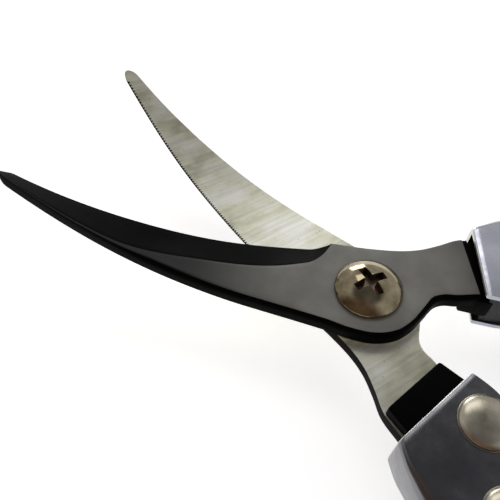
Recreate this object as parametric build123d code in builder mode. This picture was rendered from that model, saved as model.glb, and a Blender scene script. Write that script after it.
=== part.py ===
from build123d import *
from math import asin, cos, degrees, hypot, pi, radians, sin, sqrt, tan
import os

# Poultry shears: two crossed halves that a coil spring holds open, and a hook that locks them shut.
# Frame: X runs from the handles to the tips, midway between the open halves. Z is the pivot axis, up
# towards the screw head. The origin is on that axis, on the plane the shears lie on. All sizes in mm.
#
# Each half is drawn in its own plane: x points to its tip, y to its cutting edge and its handle, and z
# to the other half. The upper half's plane is therefore turned over.
UPPER = 1
LOWER = -1

# How the halves sit.
MATING_HEIGHT = 6.4          # resting plane to the plane in which the halves slide on each other
OPEN_ANGLE = 31.5            # between the two blades at rest
BLADE_GAP = 0.24             # running gap between the two ground faces
FIT = 0.1                    # gap round a piece that is held still in another one
RUNNING_FIT = 0.05           # radial gap of a piece that turns on another one

# Blades.
PIVOT_TO_TIP = 77.0
BLADE_THICKNESS = 3.4
FLAT_RADIUS = 24.0           # the blades are flat this far from the pivot, then curve up
CURVE_RADIUS = 84.0
CURVE_SWEEP = 46.0           # degrees of arc, enough to pass the tip
TIP_HALF_WIDTH = 1.75
EDGE_START = (9.1, 10.2)     # where the cutting edge begins, in front of the pivot
EDGE_SAG_POINTS = ((19.0, 8.8), (32.0, 7.2), (53.0, 4.85))
SPINE_POINTS = ((53.0, -4.5), (30.0, -7.1), (8.0, -9.6))
HEEL_POINTS = ((2.6, -10.5), (-2.5, -10.5), (-6.8, -8.9), (-9.6, -6.2), (-11.7, -2.9))
NOTCH_POINTS = ((-13.5, 0.1), (-15.5, 1.4), (-18.0, 1.8), (-22.4, 3.0))
NECK_POINTS = ((-22.4, 18.9), (-17.4, 17.2), (-13.7, 14.9), (-9.8, 12.8), (-5.6, 11.5), (0.0, 10.7))
EDGE_LAND = 0.4              # height of the cutting edge's own narrow face
BEVEL_LINE = (               # along the blade, and how far across it the ground bevel begins
    (13.5, 3.6),
    (21.5, 1.0),
    (36.0, -1.2),
    (55.0, -1.9),
    (80.0, -0.9),
)
BEVEL_STATIONS = 14          # the cutter has this many straight lengths
BEVEL_OVERCUT = 2.0          # how far the bevel's cutter runs past the metal
BEVEL_START_WIDTH = 0.3      # of the bevel where it begins
BEVEL_START_DEPTH = 0.1
SPINE_CHAMFER = 0.6

# Tangs, which are cranked so that both handles lie in one plane.
TANG_THICKNESS = 5.5
CRANK_INNER = (-19.2, 2.9)
CRANK_OUTER = (-17.6, 17.1)
TANG_END = 48.5              # pivot to the hidden end of the tang

# Handles: sheet folded into a channel, with its round back outwards.
HANDLE_END = 161.0           # pivot to the far end, along a closed half
HANDLE_THICKNESS = 11.3
SHEET = 1.2
BACK_ROUND = 4.4             # radius on the channel's back
MOUTH_INNER = {UPPER: (-22.7, 2.4), LOWER: (-24.4, 2.7)}
MOUTH_OUTER = {UPPER: (-20.5, 20.2), LOWER: (-22.7, 19.4)}
BACK_FRONT_POINTS = ((-26.5, 23.6), (-36.0, 28.4), (-55.0, 32.2), (-80.0, 33.6), (-105.0, 31.6))
BACK_REAR_POINTS = ((33.0, 27.0), (15.0, 20.3), (4.6, 13.0))     # first value: in front of the end
LIP_FRONT_POINTS = ((-30.0, 2.6), (-37.0, 5.2))
LIP_REAR_POINTS = ((79.0, 12.8), (58.0, 12.6), (37.0, 9.6), (19.0, 5.8), (6.0, 2.9))
END_POINT = (0.0, 6.8)

# Nylon core that fills the channel round the tang.
CORE_RECESS = 0.8            # below the sheet's edges
CORE_MOUTH = 1.5             # behind the channel's mouth
CORE_END = 42.0              # stops this far in front of the handle's end, to leave room for the hook

# Rivets, domed on both sides.
RIVET_HEAD_RADIUS = 5.0
RIVET_DOME = 1.7
RIVET_SHANK_RADIUS = 2.5
FRONT_RIVET = (-31.3, 8.6)
MIDDLE_RIVET = (-42.0, 19.0)
REAR_RIVET = (-108.0, 22.5)

# Pivot.
SCREW_HEAD_RADIUS = 7.0
SCREW_HEAD_HEIGHT = 3.6
SCREW_HEAD_LIP = 0.6
SCREW_SHANK_RADIUS = 3.0
RECESS_SPAN = 7.8
RECESS_ARM = 1.8
RECESS_DEPTH = 2.2
RECESS_TURN = 54.0           # the cross's direction, from the X axis
BUSH_RADIUS = 4.2
WASHER_RADIUS = 5.4
WASHER_THICKNESS = 0.5
NUT_RADIUS = 4.8
NUT_THICKNESS = 2.0
NUT_CHAMFER = 0.4
SCREW_END_CHAMFER = 0.3

# Return spring, bent round the pivot between the two handles.
SPRING_RADIUS = 56.8         # pivot to the middle of the coil
LIP_AT_SPRING = 9.6          # degrees that each sheet edge stands off the closed middle line there
COIL_RADIUS = 9.25           # to the middle of the wire
WIRE = 1.45
TURNS = 8.75
POINTS_PER_TURN = 12
SEAT_BOSS_RADIUS = 7.4
SEAT_BOSS_HEIGHT = 4.0
SEAT_BOSS_CHAMFER = 1.0
SEAT_KEY_LENGTH = 12.0
SEAT_KEY_DEPTH = 4.0

# Hook that holds the handles together.
HOOK_PIN = (15.0, 9.6)       # in front of the handle's end, and across from the middle line
CATCH_PIN = (15.0, 8.0)
HOOK_THICKNESS = 2.6
HOOK_HALF_WIDTH = 3.6
HOOK_STOWED_ANGLE = 14.0     # the stowed hook's own direction, from the half's x axis
HOOK_NOSE = 5.0              # hook beyond the catch pin's middle
HOOK_THROAT_FIT = 0.5
PIN_RADIUS = 1.6
PIN_HEAD_RADIUS = 4.0
PIN_DOME = 1.4
COLLAR_RADIUS = 2.8
COLLAR_FIT = 0.1             # along the pin, each side of the hook
CATCH_COLLAR_GAP = 0.5       # along the pin, each side of the hook


def half_plane(side, height=0.0):
    """The drawing plane of one half, moved along its own z by height."""
    turn = radians(side * OPEN_ANGLE / 2)
    return Plane(
        origin=(0, 0, MATING_HEIGHT - side * height),
        x_dir=(cos(turn), sin(turn), 0),
        z_dir=(0, 0, -side),
    )


def section_plane(side, station):
    """The plane across a blade at one station: its x runs across, its y along the half's z."""
    own = half_plane(side)
    return Plane(origin=own.from_local_coords((station, 0, 0)), x_dir=own.y_dir, z_dir=own.x_dir)


def seat_plane(side):
    """The plane of the sheet edges under the spring, with its normal towards the other handle."""
    own = half_plane(side)
    angle = radians(180 - LIP_AT_SPRING)
    outwards = Vector(cos(angle), sin(angle), 0)
    across = Vector(-sin(angle), cos(angle), 0)
    centre = outwards * SPRING_RADIUS
    return Plane(
        origin=own.from_local_coords(centre),
        x_dir=own.from_local_coords(outwards) - own.origin,
        z_dir=own.from_local_coords(across) - own.origin,
    )


def from_end(points):
    """Points given by their distance in front of the handle's end, as points of the half's plane."""
    return [(ahead - HANDLE_END, across) for ahead, across in points]


def face_height(side, radius, depth):
    """Height, in the half's z, of the blade's surface at depth below its ground face."""
    arc = CURVE_RADIUS - side * (BLADE_GAP / 2 + depth)
    beyond = max(0.0, radius - FLAT_RADIUS)
    return -side * (CURVE_RADIUS - sqrt(arc**2 - beyond**2))


def between(knots, station):
    """The value at one station of a line drawn through (station, value) knots."""
    for (x0, y0), (x1, y1) in zip(knots, knots[1:]):
        if station <= x1:
            break
    return y0 + (y1 - y0) * (station - x0) / (x1 - x0)


def edge_offset(station):
    """Distance of the cutting edge from the blade's middle line."""
    return between([EDGE_START, *EDGE_SAG_POINTS, (PIVOT_TO_TIP, TIP_HALF_WIDTH)], station)


def bevel_section(side, station, line, rise):
    """Sketch the triangle that the bevel takes off at one station, from its line to rise above the edge."""
    edge = edge_offset(station)
    low = face_height(side, hypot(station, edge), rise)
    high = face_height(side, hypot(station, line), BLADE_THICKNESS)
    slope = (high - low) / (line - edge)
    outer = edge + BEVEL_OVERCUT
    inner = line - BEVEL_OVERCUT / 2
    with BuildSketch(section_plane(side, station)) as section:
        with BuildLine():
            Polyline(
                (outer, low + slope * (outer - edge)),
                (inner, high + slope * (inner - line)),
                (outer, high + slope * (inner - line)),
                close=True,
            )
        make_face()
    return section.sketch


def build_bevel(side):
    """The wedge of metal that grinding takes off along one cutting edge."""
    start, edge = EDGE_START
    sections = [bevel_section(side, start, edge - BEVEL_START_WIDTH, BLADE_THICKNESS - BEVEL_START_DEPTH)]
    first, last = BEVEL_LINE[0][0], BEVEL_LINE[-1][0]
    for step in range(BEVEL_STATIONS + 1):
        station = first + (last - first) * step / BEVEL_STATIONS
        sections.append(bevel_section(side, station, between(BEVEL_LINE, station), EDGE_LAND))
    with BuildPart() as bevel:
        for section in sections:
            add(section)
        loft(ruled=True)
    return bevel.part


def build_blade(side, name):
    """One blade with its heel, neck and cranked tang."""
    near = CURVE_RADIUS - side * BLADE_GAP / 2
    far = CURVE_RADIUS - side * (BLADE_GAP / 2 + BLADE_THICKNESS)
    tip_start = PIVOT_TO_TIP - TIP_HALF_WIDTH
    profile_plane = Plane(origin=(0, 0, MATING_HEIGHT), x_dir=(0, 1, 0), z_dir=(1, 0, 0))
    with BuildPart() as blade:
        with BuildSketch(profile_plane):
            with BuildLine():
                inner = CenterArc((FLAT_RADIUS, CURVE_RADIUS), near, -90, CURVE_SWEEP)
                outer = CenterArc((FLAT_RADIUS, CURVE_RADIUS), far, -90, CURVE_SWEEP)
                Polyline(inner @ 0, (0, CURVE_RADIUS - near), (0, CURVE_RADIUS - far), outer @ 0)
                Line(inner @ 1, outer @ 1)
            make_face()
        revolve(axis=Axis.Z)
        with BuildSketch(half_plane(side)):
            with BuildLine():
                edge = Spline(EDGE_START, *EDGE_SAG_POINTS, (tip_start, TIP_HALF_WIDTH))
                spine = Spline((tip_start, -TIP_HALF_WIDTH), *SPINE_POINTS)
                ThreePointArc(edge @ 1, (PIVOT_TO_TIP, 0), spine @ 0)
                heel = Spline(spine @ 1, *HEEL_POINTS, *NOTCH_POINTS, tangents=(spine % 1, (-1, 0)))
                neck = Spline(*NECK_POINTS, edge @ 0)
                Line(heel @ 1, neck @ 0)
            make_face()
        extrude(amount=CURVE_RADIUS, both=True, mode=Mode.INTERSECT)
        add(build_bevel(side), mode=Mode.SUBTRACT)
        chamfer(spine_edges(side, blade), SPINE_CHAMFER)
        with BuildSketch(half_plane(side, -TANG_THICKNESS / 2)):
            with BuildLine():
                Polyline(*tang_points(side), close=True)
            make_face()
        extrude(amount=TANG_THICKNESS)
        bore = BUSH_RADIUS + (RUNNING_FIT if side == UPPER else 0)
        with Locations(half_plane(side)):
            Hole(bore)
            with Locations(FRONT_RIVET, MIDDLE_RIVET):
                Hole(RIVET_SHANK_RADIUS)
    blade.part.label = name
    return blade.part


def tang_points(side):
    """Corners of the tang from its crank to its hidden end."""
    inner_end = TANG_END * tan(radians(LIP_AT_SPRING))
    return [
        CRANK_OUTER,
        CRANK_INNER,
        (MOUTH_INNER[side][0], MOUTH_INNER[side][1] + CORE_RECESS),
        (LIP_FRONT_POINTS[1][0], LIP_FRONT_POINTS[1][1] + CORE_RECESS),
        (-TANG_END, inner_end + CORE_RECESS),
        (-TANG_END, BACK_FRONT_POINTS[2][1] - 2 * BACK_ROUND),
        (BACK_FRONT_POINTS[1][0], BACK_FRONT_POINTS[1][1] - BACK_ROUND),
        (MOUTH_OUTER[side][0], MOUTH_OUTER[side][1] - SHEET - FIT),
    ]


def spine_edges(side, blade):
    """The edges of the outer face along the spine and round the heel."""
    own = half_plane(side)
    found = []
    for edge in blade.edges().filter_by(GeomType.BSPLINE):
        middle = own.to_local_coords(edge @ 0.5)
        radius = hypot(middle.X, middle.Y)
        on_outer_face = abs(middle.Z - face_height(side, radius, BLADE_THICKNESS)) < 0.05
        on_spine = middle.Y < between(BEVEL_LINE, max(middle.X, BEVEL_LINE[0][0])) - SPINE_CHAMFER
        if on_outer_face and on_spine and edge.length > 10 * SPINE_CHAMFER:
            found.append(edge)
    return found


def shifted(points, distance):
    """Points of a curve moved sideways, towards the inside of the handle when distance is positive."""
    moved = []
    for number, (x, y) in enumerate(points):
        before = points[max(number - 1, 0)]
        after = points[min(number + 1, len(points) - 1)]
        along = (after[0] - before[0], after[1] - before[1])
        length = hypot(*along)
        moved.append((x - along[1] / length * distance, y + along[0] / length * distance))
    return moved


def lip_points(side):
    """The handle's inner outline. It runs straight away from the pivot where the spring bears on it."""
    angle = radians(LIP_AT_SPRING)
    seat = [
        (-radius * cos(angle), radius * sin(angle))
        for radius in (SPRING_RADIUS - COIL_RADIUS, SPRING_RADIUS, SPRING_RADIUS + COIL_RADIUS)
    ]
    return [MOUTH_INNER[side], *LIP_FRONT_POINTS, *seat, *from_end(LIP_REAR_POINTS)]


def build_channel(side, inset, lip_inset, mouth_length=0.0):
    """A solid in the handle's outline: inset on its back, lip_inset at its lips, longer at its mouth."""
    rear = from_end(BACK_REAR_POINTS + (END_POINT,))
    back = shifted([MOUTH_OUTER[side], *BACK_FRONT_POINTS, *rear], inset)
    lips = shifted(lip_points(side), -lip_inset)
    with BuildPart() as channel:
        with BuildSketch(half_plane(side)):
            with BuildLine():
                outer = Spline(*back)
                inner = Spline(*lips)
                if mouth_length:
                    ahead = Vector(mouth_length, 0)
                    Polyline(outer @ 0, outer @ 0 + ahead, inner @ 0 + ahead, inner @ 0)
                else:
                    Line(outer @ 0, inner @ 0)
                Line(outer @ 1, inner @ 1)
            make_face()
        extrude(amount=HANDLE_THICKNESS / 2 - inset, both=True)
        back_edges = channel.edges().filter_by(GeomType.BSPLINE).sort_by(SortBy.LENGTH)[-2:]
        fillet(back_edges, BACK_ROUND - inset)
    return channel.part


def rivet_places(side):
    """Where the three rivets of a handle stand."""
    return [half_plane(side).from_local_coords(place) for place in (FRONT_RIVET, MIDDLE_RIVET, REAR_RIVET)]


def pin_place(side):
    """Where the hook's pin stands in the upper handle, or the pin it catches in the lower one."""
    ahead, across = HOOK_PIN if side == UPPER else CATCH_PIN
    return half_plane(side).from_local_coords((ahead - HANDLE_END, across))


def build_shell(side, name):
    """The folded sheet of one handle."""
    with BuildPart() as shell:
        add(build_channel(side, 0.0, 0.0))
        add(build_channel(side, SHEET, -2 * SHEET, mouth_length=2 * SHEET), mode=Mode.SUBTRACT)
        with Locations(*[Location(place) for place in rivet_places(side)]):
            Cylinder(RIVET_SHANK_RADIUS, 4 * HANDLE_THICKNESS, mode=Mode.SUBTRACT)
        with Locations(Location(pin_place(side))):
            Cylinder(PIN_RADIUS, 4 * HANDLE_THICKNESS, mode=Mode.SUBTRACT)
    shell.part.label = name
    return shell.part


def build_core(side, name):
    """The nylon filling of one handle, with pockets for the tang and the spring seat's key."""
    own = half_plane(side)
    inner, outer = Vector(*MOUTH_INNER[side]), Vector(*MOUTH_OUTER[side])
    mouth = outer - inner
    mouth_cut = Plane(
        origin=own.from_local_coords(inner - Vector(CORE_MOUTH, 0)),
        x_dir=own.z_dir,
        z_dir=own.from_local_coords(Vector(-mouth.Y, mouth.X, 0)) - own.origin,
    )
    end_cut = Plane(
        origin=own.from_local_coords((CORE_END - HANDLE_END, 0)),
        x_dir=own.y_dir,
        z_dir=own.x_dir,
    )
    with BuildPart() as core:
        add(build_channel(side, SHEET + FIT, CORE_RECESS))
        split(bisect_by=mouth_cut, keep=Keep.TOP)
        split(bisect_by=end_cut, keep=Keep.TOP)
        with BuildSketch(half_plane(side, -TANG_THICKNESS / 2 - FIT)):
            with BuildLine():
                Polyline(*tang_points(side), close=True)
            make_face()
            offset(amount=FIT, kind=Kind.INTERSECTION)
        extrude(amount=TANG_THICKNESS + 2 * FIT, mode=Mode.SUBTRACT)
        with BuildSketch(seat_plane(side)):
            Rectangle(SEAT_KEY_LENGTH + 2 * FIT, HANDLE_THICKNESS)
        extrude(amount=-SEAT_KEY_DEPTH - FIT, mode=Mode.SUBTRACT)
        with Locations(*[Location(place) for place in rivet_places(side)]):
            Cylinder(RIVET_SHANK_RADIUS, 4 * HANDLE_THICKNESS, mode=Mode.SUBTRACT)
    core.part.label = name
    return core.part


def half_way_down(radius, height):
    """From a point half way down the side of a round cap to the cap's top."""
    ball = (radius**2 + height**2) / (2 * height)
    angle = asin(radius / ball) / 2
    return Vector(-ball * sin(angle), ball * (1 - cos(angle)))


def build_rivet(place, name, shank, head, dome, collar_gap=None):
    """A rivet domed on both sides. Collars, if any, leave collar_gap free each side of the middle."""
    half = HANDLE_THICKNESS / 2
    top = MATING_HEIGHT + half
    foot = MATING_HEIGHT - half
    bulge = half_way_down(head, dome)
    with BuildPart() as rivet:
        with BuildSketch(Plane(origin=(place.X, place.Y, 0), x_dir=(1, 0, 0), z_dir=(0, -1, 0))):
            with BuildLine():
                above = ThreePointArc((0, top + dome), Vector(0, top + dome) - bulge, (head, top))
                below = ThreePointArc((0, foot - dome), (-bulge.X, foot - dome + bulge.Y), (head, foot))
                Polyline(above @ 1, (shank - FIT / 2, top), (shank - FIT / 2, foot), below @ 1)
                Line(above @ 0, below @ 0)
            make_face()
        revolve(axis=Axis((place.X, place.Y, 0), (0, 0, 1)))
        if collar_gap:
            collar = half - SHEET - FIT - collar_gap
            for turned in (1, -1):
                middle = MATING_HEIGHT + turned * (collar_gap + collar / 2)
                with Locations(Location((place.X, place.Y, middle))):
                    Cylinder(COLLAR_RADIUS, collar)
    rivet.part.label = name
    return rivet.part


def build_hook(name):
    """The flat hook that swings out of the upper handle and catches the lower handle's pin."""
    own = half_plane(UPPER)
    pin = pin_place(UPPER)
    turn = radians(HOOK_STOWED_ANGLE)
    reach = hypot(HOOK_PIN[0] - CATCH_PIN[0], HOOK_PIN[1] + CATCH_PIN[1])
    along = own.from_local_coords((cos(turn), sin(turn))) - own.origin
    hook_plane = Plane(origin=(pin.X, pin.Y, MATING_HEIGHT), x_dir=along, z_dir=own.z_dir)
    with BuildPart() as hook:
        with BuildSketch(hook_plane):
            with Locations(((reach + HOOK_NOSE) / 2, 0)):
                SlotOverall(reach + HOOK_NOSE + 2 * HOOK_HALF_WIDTH, 2 * HOOK_HALF_WIDTH)
            Circle(PIN_RADIUS + RUNNING_FIT, mode=Mode.SUBTRACT)
            with Locations((reach, -HOOK_HALF_WIDTH)):
                Rectangle(2 * (PIN_RADIUS + HOOK_THROAT_FIT), 2 * HOOK_HALF_WIDTH, mode=Mode.SUBTRACT)
            with Locations((reach, 0)):
                Circle(PIN_RADIUS + HOOK_THROAT_FIT, mode=Mode.SUBTRACT)
        extrude(amount=HOOK_THICKNESS / 2, both=True)
    hook.part.label = name
    return hook.part


def build_screw(name):
    """The pivot screw: domed cross-recess head, plain shank, chamfered end at the origin."""
    seat = MATING_HEIGHT + BLADE_GAP / 2 + BLADE_THICKNESS + RUNNING_FIT
    top = seat + SCREW_HEAD_HEIGHT
    with BuildPart() as screw:
        with BuildSketch(Plane.XZ):
            with BuildLine():
                dome = ThreePointArc(
                    (SCREW_HEAD_RADIUS, seat + SCREW_HEAD_LIP),
                    Vector(0, top) - half_way_down(SCREW_HEAD_RADIUS, SCREW_HEAD_HEIGHT - SCREW_HEAD_LIP),
                    (0, top),
                )
                Polyline(
                    dome @ 0,
                    (SCREW_HEAD_RADIUS, seat),
                    (SCREW_SHANK_RADIUS, seat),
                    (SCREW_SHANK_RADIUS, SCREW_END_CHAMFER),
                    (SCREW_SHANK_RADIUS - SCREW_END_CHAMFER, 0),
                    (0, 0),
                    dome @ 1,
                )
            make_face()
        revolve(axis=Axis.Z)
        with BuildSketch(Plane.XY.offset(top - RECESS_DEPTH)):
            Rectangle(RECESS_SPAN, RECESS_ARM, rotation=RECESS_TURN)
            Rectangle(RECESS_ARM, RECESS_SPAN, rotation=RECESS_TURN)
        extrude(amount=2 * RECESS_DEPTH, mode=Mode.SUBTRACT)
    screw.part.label = name
    return screw.part


def build_ring(name, low, high, outer, inner, edge=0.0):
    """A round sleeve, washer or nut on the pivot axis, between two heights."""
    with BuildPart(Plane.XY.offset(low)) as ring:
        Cylinder(outer, high - low, align=(Align.CENTER, Align.CENTER, Align.MIN))
        if edge:
            chamfer(ring.faces().sort_by(Axis.Z)[0].edges(), edge)
        Cylinder(inner, high - low, align=(Align.CENTER, Align.CENTER, Align.MIN), mode=Mode.SUBTRACT)
    ring.part.label = name
    return ring.part


def build_seat(side, name):
    """The boss that centres one end of the spring, keyed into the handle's channel."""
    lips = seat_plane(side).offset(FIT / 2)
    with BuildPart() as seat:
        with BuildSketch(lips):
            Circle(SEAT_BOSS_RADIUS)
        extrude(amount=SEAT_BOSS_HEIGHT)
        chamfer(seat.faces().sort_by(Axis(lips.origin, lips.z_dir))[-1].edges(), SEAT_BOSS_CHAMFER)
        with BuildSketch(lips):
            Rectangle(SEAT_KEY_LENGTH, HANDLE_THICKNESS - 2 * SHEET - 2 * FIT)
        extrude(amount=-SEAT_KEY_DEPTH)
    seat.part.label = name
    return seat.part


def build_spring(name):
    """The coil spring, bent round the pivot from one handle's edge to the other's."""
    end_gap = degrees((WIRE / 2 + FIT) / (SPRING_RADIUS - COIL_RADIUS))
    first = 180 - LIP_AT_SPRING - OPEN_ANGLE / 2 + end_gap
    last = 360 - first
    steps = round(TURNS * POINTS_PER_TURN)
    points = []
    for step in range(steps + 1):
        along = radians(first + (last - first) * step / steps)
        around = 2 * pi * TURNS * step / steps
        radius = SPRING_RADIUS + COIL_RADIUS * cos(around)
        points.append((radius * cos(along), radius * sin(along), MATING_HEIGHT + COIL_RADIUS * sin(around)))
    with BuildPart() as spring:
        with BuildLine():
            path = Spline(*points)
        with BuildSketch(Plane(origin=path @ 0, z_dir=path % 0)):
            Circle(WIRE / 2)
        sweep(path=path, is_frenet=True)
    spring.part.label = name
    return spring.part


blade_foot = MATING_HEIGHT - BLADE_GAP / 2 - BLADE_THICKNESS
blade_top = MATING_HEIGHT + BLADE_GAP / 2 + BLADE_THICKNESS
washer_foot = blade_foot - WASHER_THICKNESS
nut_foot = washer_foot - NUT_THICKNESS

screw_bore = SCREW_SHANK_RADIUS + RUNNING_FIT
hook_space = HOOK_THICKNESS / 2 + COLLAR_FIT
catch_space = HOOK_THICKNESS / 2 + CATCH_COLLAR_GAP

pieces = [
    build_screw("pivot_screw"),
    build_ring("pivot_bush", blade_foot, blade_top + RUNNING_FIT, BUSH_RADIUS, screw_bore),
    build_ring("pivot_washer", washer_foot, blade_foot, WASHER_RADIUS, screw_bore),
    build_ring("pivot_nut", nut_foot, washer_foot, NUT_RADIUS, SCREW_SHANK_RADIUS, edge=NUT_CHAMFER),
    build_spring("return_spring"),
    build_hook("latch_hook"),
    build_rivet(pin_place(UPPER), "latch_pin", PIN_RADIUS, PIN_HEAD_RADIUS, PIN_DOME, hook_space),
    build_rivet(pin_place(LOWER), "catch_pin", PIN_RADIUS, PIN_HEAD_RADIUS, PIN_DOME, catch_space),
]
for side, half_name in ((UPPER, "upper"), (LOWER, "lower")):
    pieces += [
        build_blade(side, f"{half_name}_blade"),
        build_shell(side, f"{half_name}_handle_shell"),
        build_core(side, f"{half_name}_handle_core"),
        build_seat(side, f"{half_name}_spring_seat"),
    ]
    for place, position in zip(rivet_places(side), ("front", "middle", "rear")):
        rivet_name = f"{half_name}_{position}_rivet"
        pieces.append(build_rivet(place, rivet_name, RIVET_SHANK_RADIUS, RIVET_HEAD_RADIUS, RIVET_DOME))

os.makedirs("parts", exist_ok=True)
for piece in pieces:
    export_step(piece, f"parts/{piece.label}.step")
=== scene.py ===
import math

import bmesh
import bpy
from mathutils import Matrix, Vector


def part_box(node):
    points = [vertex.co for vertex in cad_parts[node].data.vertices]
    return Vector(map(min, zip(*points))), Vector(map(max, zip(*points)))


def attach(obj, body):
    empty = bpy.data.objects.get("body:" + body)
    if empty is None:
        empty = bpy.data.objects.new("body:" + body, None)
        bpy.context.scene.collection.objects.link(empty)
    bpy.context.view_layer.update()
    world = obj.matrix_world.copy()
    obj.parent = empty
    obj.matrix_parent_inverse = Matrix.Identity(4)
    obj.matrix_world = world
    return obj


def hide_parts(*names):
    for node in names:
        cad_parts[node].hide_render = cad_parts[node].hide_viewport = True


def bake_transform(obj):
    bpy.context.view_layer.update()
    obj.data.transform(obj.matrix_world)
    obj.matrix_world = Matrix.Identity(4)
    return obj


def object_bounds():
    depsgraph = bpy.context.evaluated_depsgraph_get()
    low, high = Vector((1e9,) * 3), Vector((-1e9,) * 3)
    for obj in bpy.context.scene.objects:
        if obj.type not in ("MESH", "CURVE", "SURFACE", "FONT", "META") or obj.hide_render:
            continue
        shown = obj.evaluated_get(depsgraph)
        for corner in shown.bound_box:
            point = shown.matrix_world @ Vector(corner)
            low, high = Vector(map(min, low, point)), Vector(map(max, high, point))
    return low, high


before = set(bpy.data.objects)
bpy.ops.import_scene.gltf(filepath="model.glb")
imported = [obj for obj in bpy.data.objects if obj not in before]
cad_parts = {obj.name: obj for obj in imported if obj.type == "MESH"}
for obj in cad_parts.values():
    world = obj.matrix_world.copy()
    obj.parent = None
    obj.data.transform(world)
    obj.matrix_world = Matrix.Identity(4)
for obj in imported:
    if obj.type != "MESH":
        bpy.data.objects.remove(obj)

# Poultry shears, as they lie open on a pale floor. Shapes are drawn in millimetres, as in the CAD model,
# and turned into metres when their mesh is made.
#
# Each half is drawn in its own frame: x points to its tip, y to its cutting edge and its handle, and z to
# the other half. The upper half is therefore turned over.
cad_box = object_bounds()
MM = 0.001
UPPER = 1
LOWER = -1
SIDES = {"upper": UPPER, "lower": LOWER}

# How the halves sit.
MATING_HEIGHT = 6.4
OPEN_ANGLE = 31.5
BLADE_GAP = 0.24

# Blades.
BLADE_THICKNESS = 3.4
FLAT_RADIUS = 24.0           # the blades are flat this far from the pivot, then curve up
CURVE_RADIUS = 84.0
TIP = {UPPER: 77.0, LOWER: 76.85}
TIP_HALF_WIDTH = 1.75
TIP_BIAS = {UPPER: 0.0, LOWER: 0.25}     # 0: the tip is round, 1: it is square at its cutting edge
TIP_THINNING = 0.35          # less metal at the tip than at the pivot
THINNING_START = 50.0
TIP_ROUNDING = 0.55          # share of the thickness that the round of the tip takes off
TIP_REMNANT = 0.05           # share of its rounds and chamfers that a blade keeps at its very end
NECK_END = -22.4
NECK_SLANT = {UPPER: 4.0, LOWER: 0.0}    # how much further forward the outer face ends at the edge side
NECK_SLANT_START = -8.0
NECK_LEDGE = 1.1             # behind the outer face's end, a little lower
NECK_LEDGE_DROP = 0.35
NECK_LEDGE_WALL = 0.15       # length over which it drops
EDGE_START = 9.1
EDGE_LAND = 0.4              # height of the cutting edge's own narrow face
RUN_OUT = 5.0                # length over which the ground bevel fades in
CRISP_SHARE = 0.25           # of that length, after which the bevel is quite straight
EDGE_POINTS = (
    (-23.5, 18.9), (-22.4, 18.6), (-17.4, 17.2), (-13.7, 14.9), (-9.8, 12.8), (-5.6, 11.5), (0.0, 10.7),
    (5.0, 10.35), (9.1, 10.2), (19.0, 8.8), (32.0, 7.2), (53.0, 4.85), (75.25, 1.75), (77.0, 1.6),
)
SPINE_POINTS = (
    (-23.5, 3.1), (-22.4, 3.0), (-18.0, 1.8), (-15.5, 1.4), (-13.5, 0.1), (-11.7, -2.9), (-9.6, -6.2),
    (-6.8, -8.9), (-2.5, -10.5), (2.6, -10.5), (8.0, -9.6), (30.0, -7.3), (53.0, -4.7), (75.25, -1.75),
    (77.0, -1.6),
)
BEVEL_LINE = (
    (9.1, 9.7), (10.2, 7.1), (11.6, 5.1), (13.5, 3.7), (21.5, 1.0), (36.0, -1.2), (50.0, -3.5),
    (60.0, -3.2), (77.0, -1.3),
)
HEEL_ROUND = {UPPER: 1.2, LOWER: 0.8}    # along the spine and round the heel, on the outer face
HEEL_SHARE = 0.45            # of the outer face's width, which this round may take at most
NECK_ROUND = 0.45
MATING_CHAMFER = 0.3
CHAMFER_REACH = 3.0          # the chamfer is at most this many times wider where the outline turns across
TOOTH_PITCH = 0.65
TOOTH_DEPTH = 0.5
TOOTH_PROFILE = (0.0, 1.0, 1.0, 0.4)     # share of the depth, along one tooth
TOOTHED_STRIP = 0.75         # the teeth stay within this distance of the edge
STRIP_SHARE = 0.3            # of the ground face's width, which that strip may take at most
TOOTH_SHARE = 0.7            # of the strip, which a tooth may take at most

# A blade's mesh: how many points stand round it, and how far its sections stand apart.
GROUND_POINTS = 12
ROUND_POINTS = 7
ROUND_POINTS_PAINTED_SHADE = 5        # this many of the round's points, beside the wall, are matt black: a painted shade along the rim
FACE_POINTS = 9
BEVEL_POINTS = 8
NECK_STEP = 0.7
RUN_OUT_STEP = 0.2
BLADE_STEP = 0.9
TIP_ANGLES = range(8, 89, 8)

# Slots of a blade's materials.
COAT, BEVEL, GROUND, WALL, TANG = range(5)

# Tangs.
TANG_THICKNESS = 5.5
TANG_ROUND = 0.45
TANG_POINTS = (
    (-17.6, 17.1), (-19.2, 2.9), (-24.4, 2.7), (-37.0, 6.0), (-48.5, 9.0), (-48.5, 23.4), (-36.0, 24.0),
    (-22.7, 18.1),
)

# Pivot.
SCREW_FIT = 0.05             # gap under the head
SCREW_HEAD_RADIUS = 7.0
SCREW_HEAD_HEIGHT = 3.6
SCREW_HEAD_LIP = 0.6         # height of the head's upright rim
SCREW_RIM_CHAMFER = 0.18     # at that rim's corners
SCREW_DOME_SHARE = 0.985     # of the dome, before it rounds over into the rim
SCREW_SHANK_RADIUS = 3.0
SCREW_END_CHAMFER = 0.3
RECESS_SPAN = 7.8
RECESS_ARM = 1.8
RECESS_DEPTH = 2.2
RECESS_TURN = 54.0           # the cross's direction, from the X axis
RECESS_SOFTENING = 0.2

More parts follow.
